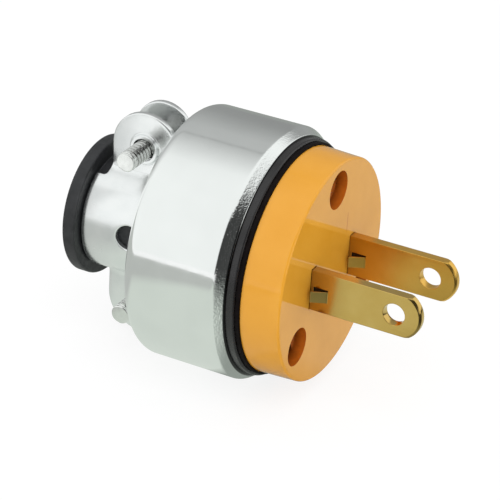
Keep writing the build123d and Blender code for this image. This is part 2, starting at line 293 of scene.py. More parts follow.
def thread_grid(length):
    """Screw shank from z = 0 down to -length.

    Radius = R - depth * groove(z / pitch - turn), where groove is a vee with a flat crest and a rounded
    root.  The last stretch is a plain pilot, with a slope up to the thread and a rounded end.
    """
    steps = int(length / PITCH * STEPS_PER_PITCH)
    z = np.linspace(0, -length, steps)[:, None]
    turn = np.linspace(0, 1, THREAD_AROUND, endpoint=False)[None, :]
    phase = np.mod(z / PITCH - turn, 1)
    vee = 1 - np.abs(2 * phase - 1)
    groove = np.clip((vee - VEE_FLAT) / VEE_REACH, 0, 1)
    r = SCREW_R - THREAD_DEPTH * groove * groove * (3 - 2 * groove)
    to_end = z + length
    r = np.minimum(r, PILOT_R + np.maximum(to_end - PILOT_LENGTH, 0))
    rounding = np.clip(PILOT_EDGE_R - to_end, 0, PILOT_EDGE_R)
    r = np.minimum(r, PILOT_R - PILOT_EDGE_R + np.sqrt(PILOT_EDGE_R**2 - rounding**2))
    ring = np.stack([r * np.cos(2 * pi * turn), r * np.sin(2 * pi * turn), z + 0 * turn], axis=-1)
    top = np.zeros_like(ring[:1])
    tip = np.zeros_like(ring[:1])
    tip[..., 2] = -length
    return np.concatenate([top, ring, tip])


HEAD_COLUMNS = 36
CROWN_ROWS = 14
SLOT_ROWS = 4


def slotted_head_grid(head_r, thick):
    """Pan head on z = 0 with a slot along x.

    Row v is a closed section of half width c = sqrt(R^2 - v^2): the seat at z = 0 and above it the crown,
    which drops by a quarter circle at the rim, less the slot's depth where |v| is under half its width.
    """
    slot_edge = SLOT_WIDTH / 2
    outside = head_r - (head_r - slot_edge) * np.linspace(0, 1, CROWN_ROWS) ** 2
    inside = np.linspace(slot_edge, 0, SLOT_ROWS)
    v = np.concatenate([-outside, -inside, inside[::-1][1:], outside[::-1]])[:, None]
    plain, cut = np.zeros(len(outside)), np.ones(len(inside))
    in_slot = np.concatenate([plain, cut, cut[1:], plain])[:, None]
    half = np.sqrt(np.maximum(head_r**2 - v**2, 0))
    u = np.sin(np.linspace(-pi / 2, pi / 2, HEAD_COLUMNS))[None, :]
    x = u * half
    reach = np.maximum(np.hypot(x, v) - (head_r - HEAD_CROWN_R), 0)
    drop = HEAD_CROWN_R - np.sqrt(np.maximum(HEAD_CROWN_R**2 - reach**2, 0))
    top = np.minimum(thick - drop, thick - SLOT_DEPTH * in_slot)
    crown = np.stack([x, v + 0 * x, top], axis=-1)
    seat = np.stack([x[:, ::-1], v + 0 * x, 0 * x], axis=-1)
    return np.concatenate([crown, seat], axis=1)


def placed(points, origin, slot_axis, head_axis):
    """Move local points so that x runs along slot_axis, z along head_axis, and 0 lies at origin."""
    slot_axis, head_axis = np.array(slot_axis, float), np.array(head_axis, float)
    across = np.cross(head_axis, slot_axis)
    return points @ np.stack([slot_axis, across, head_axis]) + np.array(origin)


CREASE = radians(40)
SLOT_MARGIN = 0.02


def mark_grooves(screw, origin, slot_axis, head_axis, thick):
    """Store how deep each point lies in the thread: (R - r) / depth from 0 to 1, and 1 on the slot's floor.

    The origin is on the seat of the head, which is thick mm high along head_axis.
    """
    points = np.empty(len(screw.data.vertices) * 3)
    screw.data.vertices.foreach_get("co", points)
    points = points.reshape(-1, 3) / MM - np.array(origin)
    along = points @ np.array(head_axis, float)
    radius = np.sqrt(np.maximum((points**2).sum(axis=1) - along**2, 0))
    threaded = (along < 0) & (along > along.min() + PILOT_LENGTH)
    depth = np.where(threaded, np.clip((SCREW_R - radius) / THREAD_DEPTH, 0, 1), 0)
    across = np.abs(points @ np.cross(head_axis, slot_axis))
    slot_floor = (across < SLOT_WIDTH / 2 + SLOT_MARGIN) & (along < thick - SLOT_DEPTH + SLOT_MARGIN)
    # The slot's floor counts as fully deep, so the painted shade darkens it too.
    depth[slot_floor & (along > SLOT_MARGIN)] = 1
    screw.data.attributes.new("groove", "FLOAT", "POINT").data.foreach_set("value", depth)


def screw_piece(name, node, head_r, thick, length, origin, slot_axis, head_axis):
    """Threaded, slotted screw in place of the plain CAD one."""
    thread = placed(thread_grid(length), origin, slot_axis, head_axis)
    head = placed(slotted_head_grid(head_r, thick), origin, slot_axis, head_axis)
    screw = piece_from_patches(name, [grid_patch(thread, False, True), grid_patch(head, False, True)])
    screw.data.set_sharp_from_angle(angle=CREASE)
    mark_grooves(screw, origin, slot_axis, head_axis, thick)
    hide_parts(node)
    return screw


# %% Clamp screws
CLAMP_HEAD_R, CLAMP_HEAD_THICK = 3.3, 2.2
ENDS = {"upper": 1, "lower": -1}
clamp_screws = []
for end in ENDS:
    low, high = box_mm(f"clamp_screw_{end}")
    centre = (low + high) / 2
    seat_y = high[1] - CLAMP_HEAD_THICK
    clamp_screws.append(screw_piece(
        f"threaded_clamp_screw_{end}", f"clamp_screw_{end}", CLAMP_HEAD_R, CLAMP_HEAD_THICK,
        seat_y - low[1], (centre[0], seat_y, centre[2]), (1, 0, 0), (0, 1, 0)))

# %% Face screws
FACE_HEAD_R, FACE_HEAD_THICK = 2.65, 2.0
SLOT_TURN = {"top": 35, "near": 120, "far": 65}
face_screws = []
for end, turn in SLOT_TURN.items():
    low, high = box_mm(f"face_screw_{end}")
    centre = (low + high) / 2
    seat_x = high[0] - FACE_HEAD_THICK
    slot_axis = (0, cos(radians(turn)), sin(radians(turn)))
    face_screws.append(screw_piece(
        f"threaded_face_screw_{end}", f"face_screw_{end}", FACE_HEAD_R, FACE_HEAD_THICK,
        seat_x - low[0], (seat_x, centre[1], centre[2]), slot_axis, (1, 0, 0)))

# %% [markdown]
# ## The pressed clamp halves
# A press cuts each half as a flat strip with its holes, and then bends it: a saddle round the bushing and
# an ear at each end.  The same order works here.  The flat outline is easy to draw, and one formula bends
# every point of it, so the rims and the holes come out right without any cutting of bent surfaces.

# %% Bending a flat strip
clamp_low, clamp_high = box_mm("clamp_half_near")
CLAMP_THICK = 1.0
CLAMP_BEND_R = 1.0
EAR_OUTSIDE = 3.1
SADDLE_R = SLEEVE_R + CLAMP_THICK
bend_turn = np.arccos((EAR_OUTSIDE + CLAMP_BEND_R) / (SADDLE_R + CLAMP_BEND_R))
saddle_run = SADDLE_R * bend_turn
ear_run = saddle_run + CLAMP_BEND_R * bend_turn
ear_root_z = (SADDLE_R + CLAMP_BEND_R) * sin(bend_turn)


def bent(strip, depth, side):
    """Bend flat (along, x) points that lie at a depth under the outer skin.

    The skin follows the saddle's circle by the angle a, a smaller arc b turns it back by the angle f, and
    the ear runs straight for l:  out = R cos a - b (cos(a - f) - cos a) and
    up = R sin a + b (sin a - sin(a - f)) + l, with the outward normal (cos(a - f), sin(a - f)).
    """
    along = np.abs(strip[..., 0])
    a = np.clip(along / SADDLE_R, 0, bend_turn)
    f = np.clip((along - saddle_run) / CLAMP_BEND_R, 0, bend_turn)
    ear = np.maximum(along - ear_run, 0)
    heading = a - f
    out = SADDLE_R * np.cos(a) - CLAMP_BEND_R * (np.cos(heading) - np.cos(a)) - depth * np.cos(heading)
    up = SADDLE_R * np.sin(a) + CLAMP_BEND_R * (np.sin(a) - np.sin(heading)) + ear - depth * np.sin(heading)
    return np.stack([strip[..., 1], side * out, np.sign(strip[..., 0]) * up], axis=-1)


print("strip from ear to ear in mm:", round(2 * (ear_run + clamp_high[2] - ear_root_z), 2))

# %% [markdown]
# ### A sheet with rounded rims
# The flat strip has an outline and holes, which are closed loops with the metal on their left.  Each loop
# gives a rim: a half-round edge from the outer skin to the inner one.  The skins between the rims are
# filled by a constrained triangulation, with a lattice of inner points so that they can bend.

# %% Strip patches
RIM_R = 0.22
RIM_STEPS = 4
LOOP_STEP = 0.3
LATTICE_STEP = 0.55
FLAT_MERGE = 1e-6


def even_loop(arcs):
    """Closed loop through the arcs, with points LOOP_STEP apart along it."""
    loop = np.concatenate([arcs.reshape(-1, 2), arcs.reshape(-1, 2)[:1]])
    length = np.concatenate([[0], np.cumsum(np.linalg.norm(np.diff(loop, axis=0), axis=1))])
    at = np.linspace(0, length[-1], int(length[-1] / LOOP_STEP), endpoint=False)
    return np.stack([np.interp(at, length, loop[:, 0]), np.interp(at, length, loop[:, 1])], axis=-1)


def hole_loop(along, x, radius):
    """Circle that runs clockwise, so that the metal lies on its left."""
    count = int(2 * pi * radius / LOOP_STEP)
    angle = np.linspace(0, -2 * pi, count, endpoint=False)
    return np.stack([along + radius * np.cos(angle), x + radius * np.sin(angle)], axis=-1)


def set_in(loop, distance):
    """Loop moved to its left by a distance."""
    tangent = np.roll(loop, -1, axis=0) - np.roll(loop, 1, axis=0)
    tangent /= np.linalg.norm(tangent, axis=1, keepdims=True)
    return loop + distance * np.stack([-tangent[:, 1], tangent[:, 0]], axis=-1)


def inside_loops(points, loops):
    """True for points with an odd count of loop edges to their right."""
    crossings = np.zeros(len(points), int)
    for loop in loops:
        (u0, v0), (u1, v1) = loop.T, np.roll(loop, -1, axis=0).T
        u, v = points[:, :1], points[:, 1:]
        spans = (v0 > v) != (v1 > v)
        rise = np.where(v1 == v0, 1, v1 - v0)
        crossings += (spans & (u < u0 + (v - v0) * (u1 - u0) / rise)).sum(axis=1)
    return crossings % 2 == 1


def flat_fill(loops):
    """Points and triangles that fill flat loops, with a lattice of inner points."""
    rim = np.concatenate(loops)
    low, high = rim.min(axis=0), rim.max(axis=0)
    u, v = np.meshgrid(*[np.arange(a, b, LATTICE_STEP) for a, b in zip(low, high)], indexing="ij")
    lattice = np.stack([u.ravel(), v.ravel()], axis=-1)
    nearest = np.linalg.norm(lattice[:, None] - rim[None], axis=2).min(axis=1)
    lattice = lattice[inside_loops(lattice, loops) & (nearest > LATTICE_STEP / 2)]
    first = np.cumsum([0] + [len(loop) for loop in loops])
    edges = [
        (start + i, start + (i + 1) % len(loop))
        for start, loop in zip(first, loops) for i in range(len(loop))
    ]
    points = np.concatenate([rim, lattice])
    filled = delaunay_2d_cdt(points.tolist(), edges, [], 1, FLAT_MERGE)
    points, faces = np.array([tuple(point) for point in filled[0]]), np.array(filled[2])
    return points, faces[inside_loops(points[faces].mean(axis=1), loops)]


def strip_patches(loops, side):
    """Two skins and one half-round rim for each loop of a bent strip.

    A rim's section turns by q: set in by r (1 - sin q) and r (1 - cos q) under a skin.
    """
    q = np.linspace(0, pi / 2, RIM_STEPS + 1)
    inset = np.concatenate([RIM_R * (1 - np.sin(q)), RIM_R * (1 - np.sin(q[::-1]))])
    depth = np.concatenate([RIM_R * (1 - np.cos(q)), CLAMP_THICK - RIM_R * (1 - np.cos(q[::-1]))])
    patches = []
    for loop in loops:
        rows = [bent(set_in(loop, d), n, side) for d, n in zip(inset, depth)]
        patches.append(grid_patch(np.stack(rows), False, True))
    flat, faces = flat_fill([set_in(loop, RIM_R) for loop in loops])
    patches.append((bent(flat, 0, side), faces))
    patches.append((bent(flat, CLAMP_THICK, side), faces[:, ::-1]))
    return patches


# %% [markdown]
# ### Collars and feet
# The tapped holes of the near half have a collar drawn out of the ear, which gives the thread more turns.
# A foot at the front of each saddle is trapped inside the shell.  The collar is a small turned ring with
# a hollow radius at its root, and the foot is a bar with rounded edges.

# %% Collar and foot patches
COLLAR_ROOT_R = 0.35
COLLAR_TOP_R = 0.18
COLLAR_MOUTH_R = 0.04
COLLAR_SUNK = 0.1
COLLAR_BURIED_R = COLLAR_SUNK / 4
COLLAR_ROOT_SHARE = 0.9
COLLAR_AROUND = 64
FOOT_HALF_WIDTH = 3.5


def collar_patch(centre, tapped_r, wall_r, rise):
    """Ring round the Y axis at centre, standing out to -Y by rise, with a flared root."""
    root_r = wall_r + COLLAR_ROOT_R
    outline = rounded_outline([
        (tapped_r, -COLLAR_SUNK, COLLAR_BURIED_R),
        (root_r, -COLLAR_SUNK, COLLAR_BURIED_R),
        (root_r, 0, COLLAR_BURIED_R),
        (wall_r, 0, COLLAR_ROOT_R * COLLAR_ROOT_SHARE),
        (wall_r, rise, COLLAR_TOP_R),
        (tapped_r, rise, COLLAR_MOUTH_R),
    ])
    angle = np.linspace(0, 2 * pi, COLLAR_AROUND, endpoint=False)
    r, height = outline[:, :1], outline[:, 1:]
    ring = np.stack([r * np.cos(angle), -height + 0 * angle, r * np.sin(angle)], axis=-1)
    return grid_patch(ring + centre, True, True)


def foot_patch(x_rear, x_front, y_root, y_end):
    """Bar along Z with the rounded section (x, y), closed by points at the middle of its ends."""
    section = rounded_outline([
        (x_rear, y_root, RIM_R), (x_front, y_root, RIM_R), (x_front, y_end, RIM_R), (x_rear, y_end, RIM_R),
    ])
    middle = section.mean(axis=0)
    eased = 1 - 2 * RIM_R / (x_front - x_rear)
    size = np.array([0, eased, 1, 1, eased, 0])
    end = FOOT_HALF_WIDTH
    z = np.array([-end, -end, RIM_R - end, end - RIM_R, end, end])
    flat = middle + size[:, None, None] * (section - middle)
    points = np.concatenate([flat, z[:, None, None] + 0 * flat[..., :1]], axis=-1)
    return grid_patch(points, False, True)


# %% [markdown]
# ### Both halves
# The near half has round ears with collars and a punched hole in its saddle.  The far half has narrower
# ears with plain holes for the screws.  One function draws the flat outline for either of them.

# %% Clamp halves
SADDLE_HEIGHT = 15.4
SADDLE_LIP = 1.6
SADDLE_CORNER_R = 0.4
HIDDEN_CORNER_R = 0.4
EAR_ROUND_SHARE = 0.999
NEAR_EAR_HALF = 5.5
FAR_EAR_HALF = 4.65
TAPPED_R = 1.8
CLEAR_R = 1.95
COLLAR_WALL = 0.5
SIDE_HOLE_R = 1.95
SIDE_HOLE_SETBACK = 4.9
SIDE_HOLE_RISE = 0.5
COLLAR_RISE = 0.65

clamp_front, saddle_rear = clamp_high[0], clamp_low[0]
clamp_axis = saddle_rear + SADDLE_LIP + NEAR_EAR_HALF
ear_end = ear_run + clamp_high[2] - ear_root_z
screw_z = box_mm("clamp_screw_upper")[1][2] - CLAMP_HEAD_R
screw_along = ear_run + screw_z - ear_root_z
saddle_edge = SADDLE_R * np.arcsin(SADDLE_HEIGHT / 2 / SADDLE_R)


def strip_outline(ear_half):
    """Flat outline, metal on its left: ear, saddle front, ear, saddle rear."""
    ear_rear, ear_front = clamp_axis - ear_half, clamp_axis + ear_half
    round_r = ear_half * EAR_ROUND_SHARE
    upper = [
        (saddle_edge, clamp_front, HIDDEN_CORNER_R),
        (saddle_edge, ear_front, HIDDEN_CORNER_R),
        (ear_end, ear_front, round_r),
        (ear_end, ear_rear, round_r),
        (saddle_edge, ear_rear, SADDLE_CORNER_R),
        (saddle_edge, saddle_rear, SADDLE_CORNER_R),
    ]
    lower = [(-along, x, radius) for along, x, radius in reversed(upper)]
    loop = even_loop(corner_arcs(upper + lower))
    u, v = loop.T
    area = np.sum(u * np.roll(v, -1) - v * np.roll(u, -1))
    return loop if area > 0 else loop[::-1]


def clamp_piece(side_name, side, ear_half, holes, extra):
    """Clamp half from its flat loops, with its foot and any extra patches."""
    patches = strip_patches([strip_outline(ear_half), *holes], side)
    foot_end = side * max(-clamp_low[1], clamp_high[1])
    patches.append(foot_patch(clamp_front - CLAMP_THICK, clamp_front, side * (SLEEVE_R + RIM_R), foot_end))
    half = piece_from_patches(f"pressed_clamp_{side_name}", patches + extra)
    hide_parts(f"clamp_half_{side_name}")
    return half


def screw_holes(radius):
    """Loops of the two screw holes in the flat strip."""
    return [hole_loop(end * screw_along, clamp_axis, radius) for end in ENDS.values()]


side_hole = hole_loop(SIDE_HOLE_RISE, SHELL_REAR - SIDE_HOLE_SETBACK, SIDE_HOLE_R)
collars = [
    collar_patch(
        np.array([clamp_axis, -EAR_OUTSIDE, end * screw_z]), SCREW_R, TAPPED_R + COLLAR_WALL, COLLAR_RISE)
    for end in ENDS.values()
]
clamps = [
    clamp_piece("near", -1, NEAR_EAR_HALF, [*screw_holes(TAPPED_R), side_hole], collars),
    clamp_piece("far", 1, FAR_EAR_HALF, screw_holes(CLEAR_R), []),
]

# %% [markdown]
# ## Pieces that keep their CAD form
# The face and the blades have pierced holes, slots and a lanced tab that the CAD solids already
# hold.  They only need what stamping and moulding leave: a small radius on every edge.  A copy of the
# node is merged, its flat facets are joined, and a Bevel modifier rounds what is left sharp.  A Weighted
# Normal modifier then lets each large flat set the shading at its border, so that it mirrors as a flat.

# %% Eased copies
FLAT_ANGLE = radians(0.4)
EASE_STEPS = 3
FLATS_WEIGHT = 100


def eased_copy(name, node, ease, sharp):
    """Copy of a CAD node with joined flats, and edges over the sharp angle rounded to a radius."""
    shape = bmesh.new()
    shape.from_mesh(nodes[node].data)
    bmesh.ops.remove_doubles(shape, verts=shape.verts, dist=MERGE_MM * MM)
    bmesh.ops.dissolve_limit(shape, angle_limit=FLAT_ANGLE, verts=shape.verts, edges=shape.edges)
    mesh = bpy.data.meshes.new(name)
    shape.to_mesh(mesh)
    shape.free()
    mesh.shade_smooth()
    piece = hung_piece(name, mesh)
    rounding = piece.modifiers.new("eased_edges", "BEVEL")
    rounding.width = ease * MM
    rounding.segments = EASE_STEPS
    rounding.limit_method = "ANGLE"
    rounding.angle_limit = radians(sharp)
    flats = piece.modifiers.new("flat_shading", "WEIGHTED_NORMAL")
    flats.weight = FLATS_WEIGHT
    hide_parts(node)
    return piece


FACE_EASE, FACE_SHARP = 0.2, 32
BLADE_EASE, BLADE_SHARP = 0.08, 24
face = eased_copy("moulded_face", "insulator_face", FACE_EASE, FACE_SHARP)
blade_near = eased_copy("stamped_blade_near", "blade_near", BLADE_EASE, BLADE_SHARP)
blade_far = eased_copy("stamped_blade_far", "blade_far", BLADE_EASE, BLADE_SHARP)

# %% [markdown]
# ## Finishes
# Each finish is a small node tree that reads Object coordinates, so its grain stays at its real size on
# every piece.  A helper makes the tree and the noise, and each finish then says only what it varies:
# colour, roughness and the height of the grain.

# %% Node helpers
FORWARDS, BACKWARDS = (1, 0, 0), (-1, 0, 0)
TO_FAR, TO_NEAR = (0, 1, 0), (0, -1, 0)
UPWARDS = (0, 0, 1)
DRIFT_FROM, DRIFT_FULL = 0.3, 0.7


def add_node(tree, kind, inputs, output=0, **settings):
    """Output of a new node, whose inputs are plain values or the outputs of other nodes."""
    node = tree.nodes.new(f"ShaderNode{kind}")
    for key, value in settings.items():
        setattr(node, key, value)
    for socket, value in inputs.items():
        if isinstance(value, bpy.types.NodeSocket):
            tree.links.new(value, node.inputs[socket])
        else:
            node.inputs[socket].default_value = value
    return node.outputs[output]


def rgba(colour):
    """Value of a colour socket, from a colour (r, g, b) or from one grey value."""
    return (*colour, 1) if isinstance(colour, tuple) else (colour, colour, colour, 1)


class Patterns:
    """Material whose patterns are read from Object coordinates; step is how they go from 0 to 1."""

    step = "SMOOTHSTEP"

    def __init__(self, name):
        self.material = bpy.data.materials.new(name)
        self.material.use_nodes = True
        self.tree = self.material.node_tree
        self.surface = self.tree.nodes["Material Output"].inputs["Surface"]
        self.place = add_node(self.tree, "TexCoord", {}, "Object")

    def use_shader(self, shader):
        """Show a shader in place of the Principled one that a new material has."""
        self.tree.nodes.remove(self.tree.nodes["Principled BSDF"])
        self.tree.links.new(shader, self.surface)

    def along(self, direction, low, high):
        """0 to 1 as the distance along a direction goes from low to high mm."""
        pair = {0: self.place, 1: direction}
        reach = add_node(self.tree, "VectorMath", pair, "Value", operation="DOT_PRODUCT")
        span = {"Value": reach, "From Min": low * MM, "From Max": high * MM}
        return add_node(self.tree, "MapRange", span, "Result", interpolation_type=self.step)

    def tones(self, factor, *stops):
        """Colour from stops of (position, colour or grey value)."""
        ramp = self.tree.nodes.new("ShaderNodeValToRGB")
        elements = ramp.color_ramp.elements
        for index, (position, colour) in enumerate(stops):
            stop = elements[index] if index < len(elements) else elements.new(position)
            stop.position = position
            stop.color = rgba(colour)
        self.tree.links.new(factor, ramp.inputs["Fac"])
        return ramp.outputs["Color"]

    def mixed(self, factor, first, second):
        """First colour where the factor is 0 and second where it is 1; a tuple is a plain colour."""
        first, second = [rgba(c) if isinstance(c, tuple) else c for c in (first, second)]
        return add_node(self.tree, "MixRGB", {"Fac": factor, "Color1": first, "Color2": second}, "Color")

    def times(self, product, *others):
        """Product of patterns or colours."""
        for other in others:
            product = add_node(self.tree, "VectorMath", {0: product, 1: other}, operation="MULTIPLY")
        return product


class Finish(Patterns):
    """Principled material of a piece; constants are shader sockets, with _ for a space in their names."""

    def __init__(self, name, **constants):
        super().__init__(name)
        self.shader = self.tree.nodes["Principled BSDF"]
        self.normal = None
        for key, value in constants.items():
            self.shader.inputs[key.replace("_", " ")].default_value = value

    def stretched(self, scale):
        """Object coordinates scaled per axis, for grain that runs one way."""
        return add_node(self.tree, "Mapping", {"Vector": self.place, "Scale": scale}, "Vector")

    def noise(self, size, detail=3.0, place=None):
        """Noise whose blotches are about size mm across."""
        inputs = {"Vector": place or self.place, "Scale": 1 / (size * MM), "Detail": detail}
        return add_node(self.tree, "TexNoise", inputs, "Fac")

    def drift(self, size, low, high, detail=3.0, place=None, full=DRIFT_FULL):
        """Colour or value that goes from low to high with noise of a size in mm."""
        return self.tones(self.noise(size, detail, place), (DRIFT_FROM, low), (full, high))

    def stored(self, name):
        """Value kept with each point of the mesh, or 0 where there is none."""
        return add_node(self.tree, "Attribute", {}, "Fac", attribute_name=name)

    def feed(self, output, socket):
        """Connect a pattern to a shader socket."""
        self.tree.links.new(output, self.shader.inputs[socket])

    def bump(self, height, rise):
        """Add relief of the given rise in mm to what there is already."""
        inputs = {"Height": height, "Distance": rise * MM}
        if self.normal:
            inputs["Normal"] = self.normal
        self.normal = add_node(self.tree, "Bump", inputs, "Normal")
        self.feed(self.normal, "Normal")


def plain_finish(name, colours, roughness, grain, **constants):
    """Finish whose colour and roughness drift, each (size, low, high), with grain of (size, rise) in mm."""
    finish = Finish(name, **constants)
    finish.feed(finish.drift(*colours), "Base Color")
    finish.feed(finish.drift(*roughness), "Roughness")
    finish.bump(finish.noise(grain[0]), grain[1])
    return finish


def dress(objects, finish):
    """Give objects a finish."""
    for item in objects:
        item.data.materials.clear()
        item.data.materials.append(finish.material)
    print(f"{finish.material.name}: on {len(objects)} pieces")


def face_centres(piece):
    """Middle of each face of a piece, in mm."""
    centres = np.empty(len(piece.data.polygons) * 3)
    piece.data.polygons.foreach_get("center", centres)
    return centres.reshape(-1, 3) / MM


def dress_faces(piece, chosen, finish):
    """Give the chosen faces of a dressed piece a second finish."""
    piece.data.materials.append(finish.material)
    piece.data.polygons.foreach_set("material_index", chosen.astype(np.int32))
    print(f"{finish.material.name}: on {int(chosen.sum())} faces of {piece.name}")


# %% [markdown]
# ### Bright zinc on drawn steel
# Zinc plate on the drawn shell is almost a mirror.  Its colour and gloss drift very slightly, and the
# sheet keeps a faint orange peel from the draw.  Where the front edge was rolled in, the metal was
# squeezed, so a mottled relief is faded in along the last millimetres.  A painted shade darkens the
# plate where the lip meets the flange, and a wider painted shade darkens more of the lip on the lower half.

# %% Shell plate
CURL_FADE = 0.3
# Painted shade: the lip is darkened where it meets the flange, and more widely on the lower half.
LIP_SHADE = (0.05, 0.05, 0.05)
LIP_SHADE_FROM, LIP_SHADE_FULL = 0.07, 0.03
LOW_LIP_FROM, LOW_LIP_FULL = 0.3, 0.18
LOW_LIP_Z = (13.0, 10.0)
PLATE_GLOSS_FULL = 0.75
plate = Finish("bright_zinc_plate", Metallic=1.0)
zinc = plate.drift(6.0, (0.87, 0.89, 0.88), (0.91, 0.93, 0.92))
lip_shade_mask = plate.along(FORWARDS, SHELL_FRONT - LIP_SHADE_FROM, SHELL_FRONT - LIP_SHADE_FULL)
low_lip_shade_mask = plate.along(FORWARDS, SHELL_FRONT - LOW_LIP_FROM, SHELL_FRONT - LOW_LIP_FULL)
low_lip_shade_mask = plate.times(low_lip_shade_mask, plate.along(UPWARDS, *LOW_LIP_Z))
zinc_with_lip_shade = plate.mixed(lip_shade_mask, zinc, LIP_SHADE)
plate.feed(plate.mixed(low_lip_shade_mask, zinc_with_lip_shade, LIP_SHADE), "Base Color")
plate.feed(plate.drift(1.5, 0.07, 0.13, detail=4.0, full=PLATE_GLOSS_FULL), "Roughness")
plate.bump(plate.noise(3.0, detail=1.0), rise=0.012)
plate.bump(plate.noise(0.9, detail=2.0), rise=0.0015)
fold_x = SHELL_FRONT - CURL_REACH
curl = plate.along(FORWARDS, fold_x - CURL_FADE, fold_x + CURL_FADE)
plate.bump(plate.times(plate.noise(0.25), curl), rise=0.036)
dress([shell], plate)

# %% [markdown]
# ### Duller plate on the pressings and screws
# The clamp halves are tumbled with the screws, so their plate is softer than the shell's: highlights
# spread, and small scuffs change the gloss from place to place.  A painted shade darkens the screws in
# the thread and on the slot's floor, with the depth that was stored for each point.

# %% Clamp and screw plate
tumbled = Finish("tumbled_zinc_plate", Metallic=1.0)
tumbled.feed(tumbled.drift(3.0, (0.86, 0.88, 0.88), (0.93, 0.94, 0.94)), "Base Color")
tumbled.feed(tumbled.drift(0.9, 0.2, 0.28, detail=4.0, full=PLATE_GLOSS_FULL), "Roughness")
tumbled.bump(tumbled.noise(0.5), rise=0.0008)
dress(clamps, tumbled)

# Painted shade: the screws darken with the stored depth of the thread and on the slot's floor.
GROOVE_FROM, GROOVE_FULL = 0.45, 0.95
GROOVE_PAINTED_SHADE = (0.22, 0.22, 0.21)
bolt = Finish("screw_zinc_plate", Metallic=1.0)
bolt_zinc = bolt.drift(1.2, (0.76, 0.77, 0.75), (0.88, 0.89, 0.87))
groove_shade_mask = bolt.tones(bolt.stored("groove"), (GROOVE_FROM, 0.0), (GROOVE_FULL, 1.0))
bolt.feed(bolt.mixed(groove_shade_mask, bolt_zinc, GROOVE_PAINTED_SHADE), "Base Color")
bolt.feed(bolt.drift(0.6, 0.14, 0.22), "Roughness")
bolt.bump(bolt.noise(0.3), rise=0.0008)
weld_nuts = [nodes[f"weld_nut_{end}"] for end in SLOT_TURN]
dress([*clamp_screws, *face_screws, *weld_nuts], bolt)

# %% [markdown]
# ### Orange thermoplastic
# The face is moulded from a dyed nylon with a polished front.  The dye is very even, so the colour
# only drifts by a few percent.  The core pins that made the screw holes were not polished, so the
# faces inside those holes get a matt finish of their own.  Their colour is a painted shade, which goes
# from orange at the mouth to a deep red brown, standing in for light that has bounced many times in a
# dyed hole and lost all its other colours.
# Where two flows of the plastic met above the far blade's slot, they left one fine, darker knit line.

# %% Orange plastic
KNIT_Y = 4.1
KNIT_HALF_WIDTH = 0.25
KNIT_Z = (4.2, 8.0)
KNIT_FADE = 0.8
KNIT_SHADE = (0.66, 0.22, 0.01)
orange = Finish("orange_moulding")
dye = orange.drift(5.0, (0.82, 0.37, 0.03), (0.86, 0.4, 0.04))
knit = orange.times(
    orange.along(TO_FAR, KNIT_Y - KNIT_HALF_WIDTH, KNIT_Y),
    orange.along(TO_FAR, KNIT_Y + KNIT_HALF_WIDTH, KNIT_Y),
    orange.along(UPWARDS, KNIT_Z[0], KNIT_Z[0] + KNIT_FADE),
    orange.along(UPWARDS, KNIT_Z[1], KNIT_Z[1] - KNIT_FADE),
)
orange.feed(orange.mixed(knit, dye, KNIT_SHADE), "Base Color")
orange.feed(orange.drift(1.2, 0.05, 0.09), "Roughness")
orange.bump(orange.noise(2.0), rise=0.001)
dress([face], orange)

# Painted shade: the bore's colour darkens from orange at the mouth to red brown deeper in.
BORE_DAYLIGHT = (-3.2, -0.2)
BORE_PAINTED_SHADE, BORE_MOUTH = (0.08, 0.008, 0.0005), (0.62, 0.15, 0.01)
bore = Finish("matt_core_pin_with_painted_shade", Specular_IOR_Level=0.1)
daylight = bore.times(bore.along(FORWARDS, *BORE_DAYLIGHT), bore.drift(1.0, 0.8, 1.0))
bore.feed(bore.tones(daylight, (0.0, BORE_PAINTED_SHADE), (1.0, BORE_MOUTH)), "Base Color")
bore.feed(bore.drift(0.5, 0.4, 0.55), "Roughness")
bore.bump(bore.noise(0.25), rise=0.006)

# %% Faces inside the screw holes
BORE_R = 2.92
BORE_FROM = -0.05
centres = face_centres(face)
in_bore = np.zeros(len(centres), bool)
for end in SLOT_TURN:
    low, high = box_mm(f"face_screw_{end}")
    middle = (low + high) / 2
    in_bore |= np.hypot(centres[:, 1] - middle[1], centres[:, 2] - middle[2]) < BORE_R
in_bore &= centres[:, 0] < BORE_FROM
dress_faces(face, in_bore, bore)

# %% [markdown]
# ### Black mouldings and rubber
# The wiring cup is a glossy black moulding, the seal is a dead black foam, and the bushing lies between
# them.  Black pieces show almost nothing but their gloss, so it is the roughness that differs here.

# %% Black plastic and rubber
CUP_BLACKS = (2.0, (0.012, 0.011, 0.012), (0.02, 0.019, 0.02))
FOAM_BLACKS = (1.0, (0.004, 0.002, 0.002), (0.008, 0.005, 0.005))
RUBBER_BLACKS = (1.5, (0.014, 0.015, 0.017), (0.026, 0.027, 0.03))
cup = plain_finish("black_moulding", CUP_BLACKS, (0.7, 0.2, 0.32), (0.3, 0.004))
foam = plain_finish("black_seal", FOAM_BLACKS, (0.4, 0.6, 0.75), (0.2, 0.008), Specular_IOR_Level=0.12)
rubber = plain_finish("black_rubber", RUBBER_BLACKS, (0.5, 0.4, 0.56), (0.25, 0.008))
dress([nodes["inner_body"]], cup)
dress([seal], foam)
dress([bushing], rubber)

# %% [markdown]
# ### Rolled brass
# Blade strip is rolled, so its fine lines run along the blade.  Stretching the noise along X gives that
# grain in the gloss and in the relief.  The far blade is a deeper orange than the near one, a painted
# reflection of the orange face.  A painted shade browns both blades near the face, but not their tips
# or the tabs that stand out.  A painted shadow blackens the slit behind each tab.

# %% Brass
# Painted shade: the blades are darker near the face, but not on their tabs.
ROOT_SHADE = 0.68
ROOT_SHADE_REACH = 7.0
BLADE_SPACING, BLADE_THICK = 12.7, 1.52
TAB_UNSHADED_FADE = 0.15
GRAIN_STRETCH = (0.06, 1, 1)
GLOSS_DRIFT = 0.05
near_skin = -BLADE_SPACING / 2 - BLADE_THICK / 2
far_skin = BLADE_SPACING / 2 - BLADE_THICK / 2


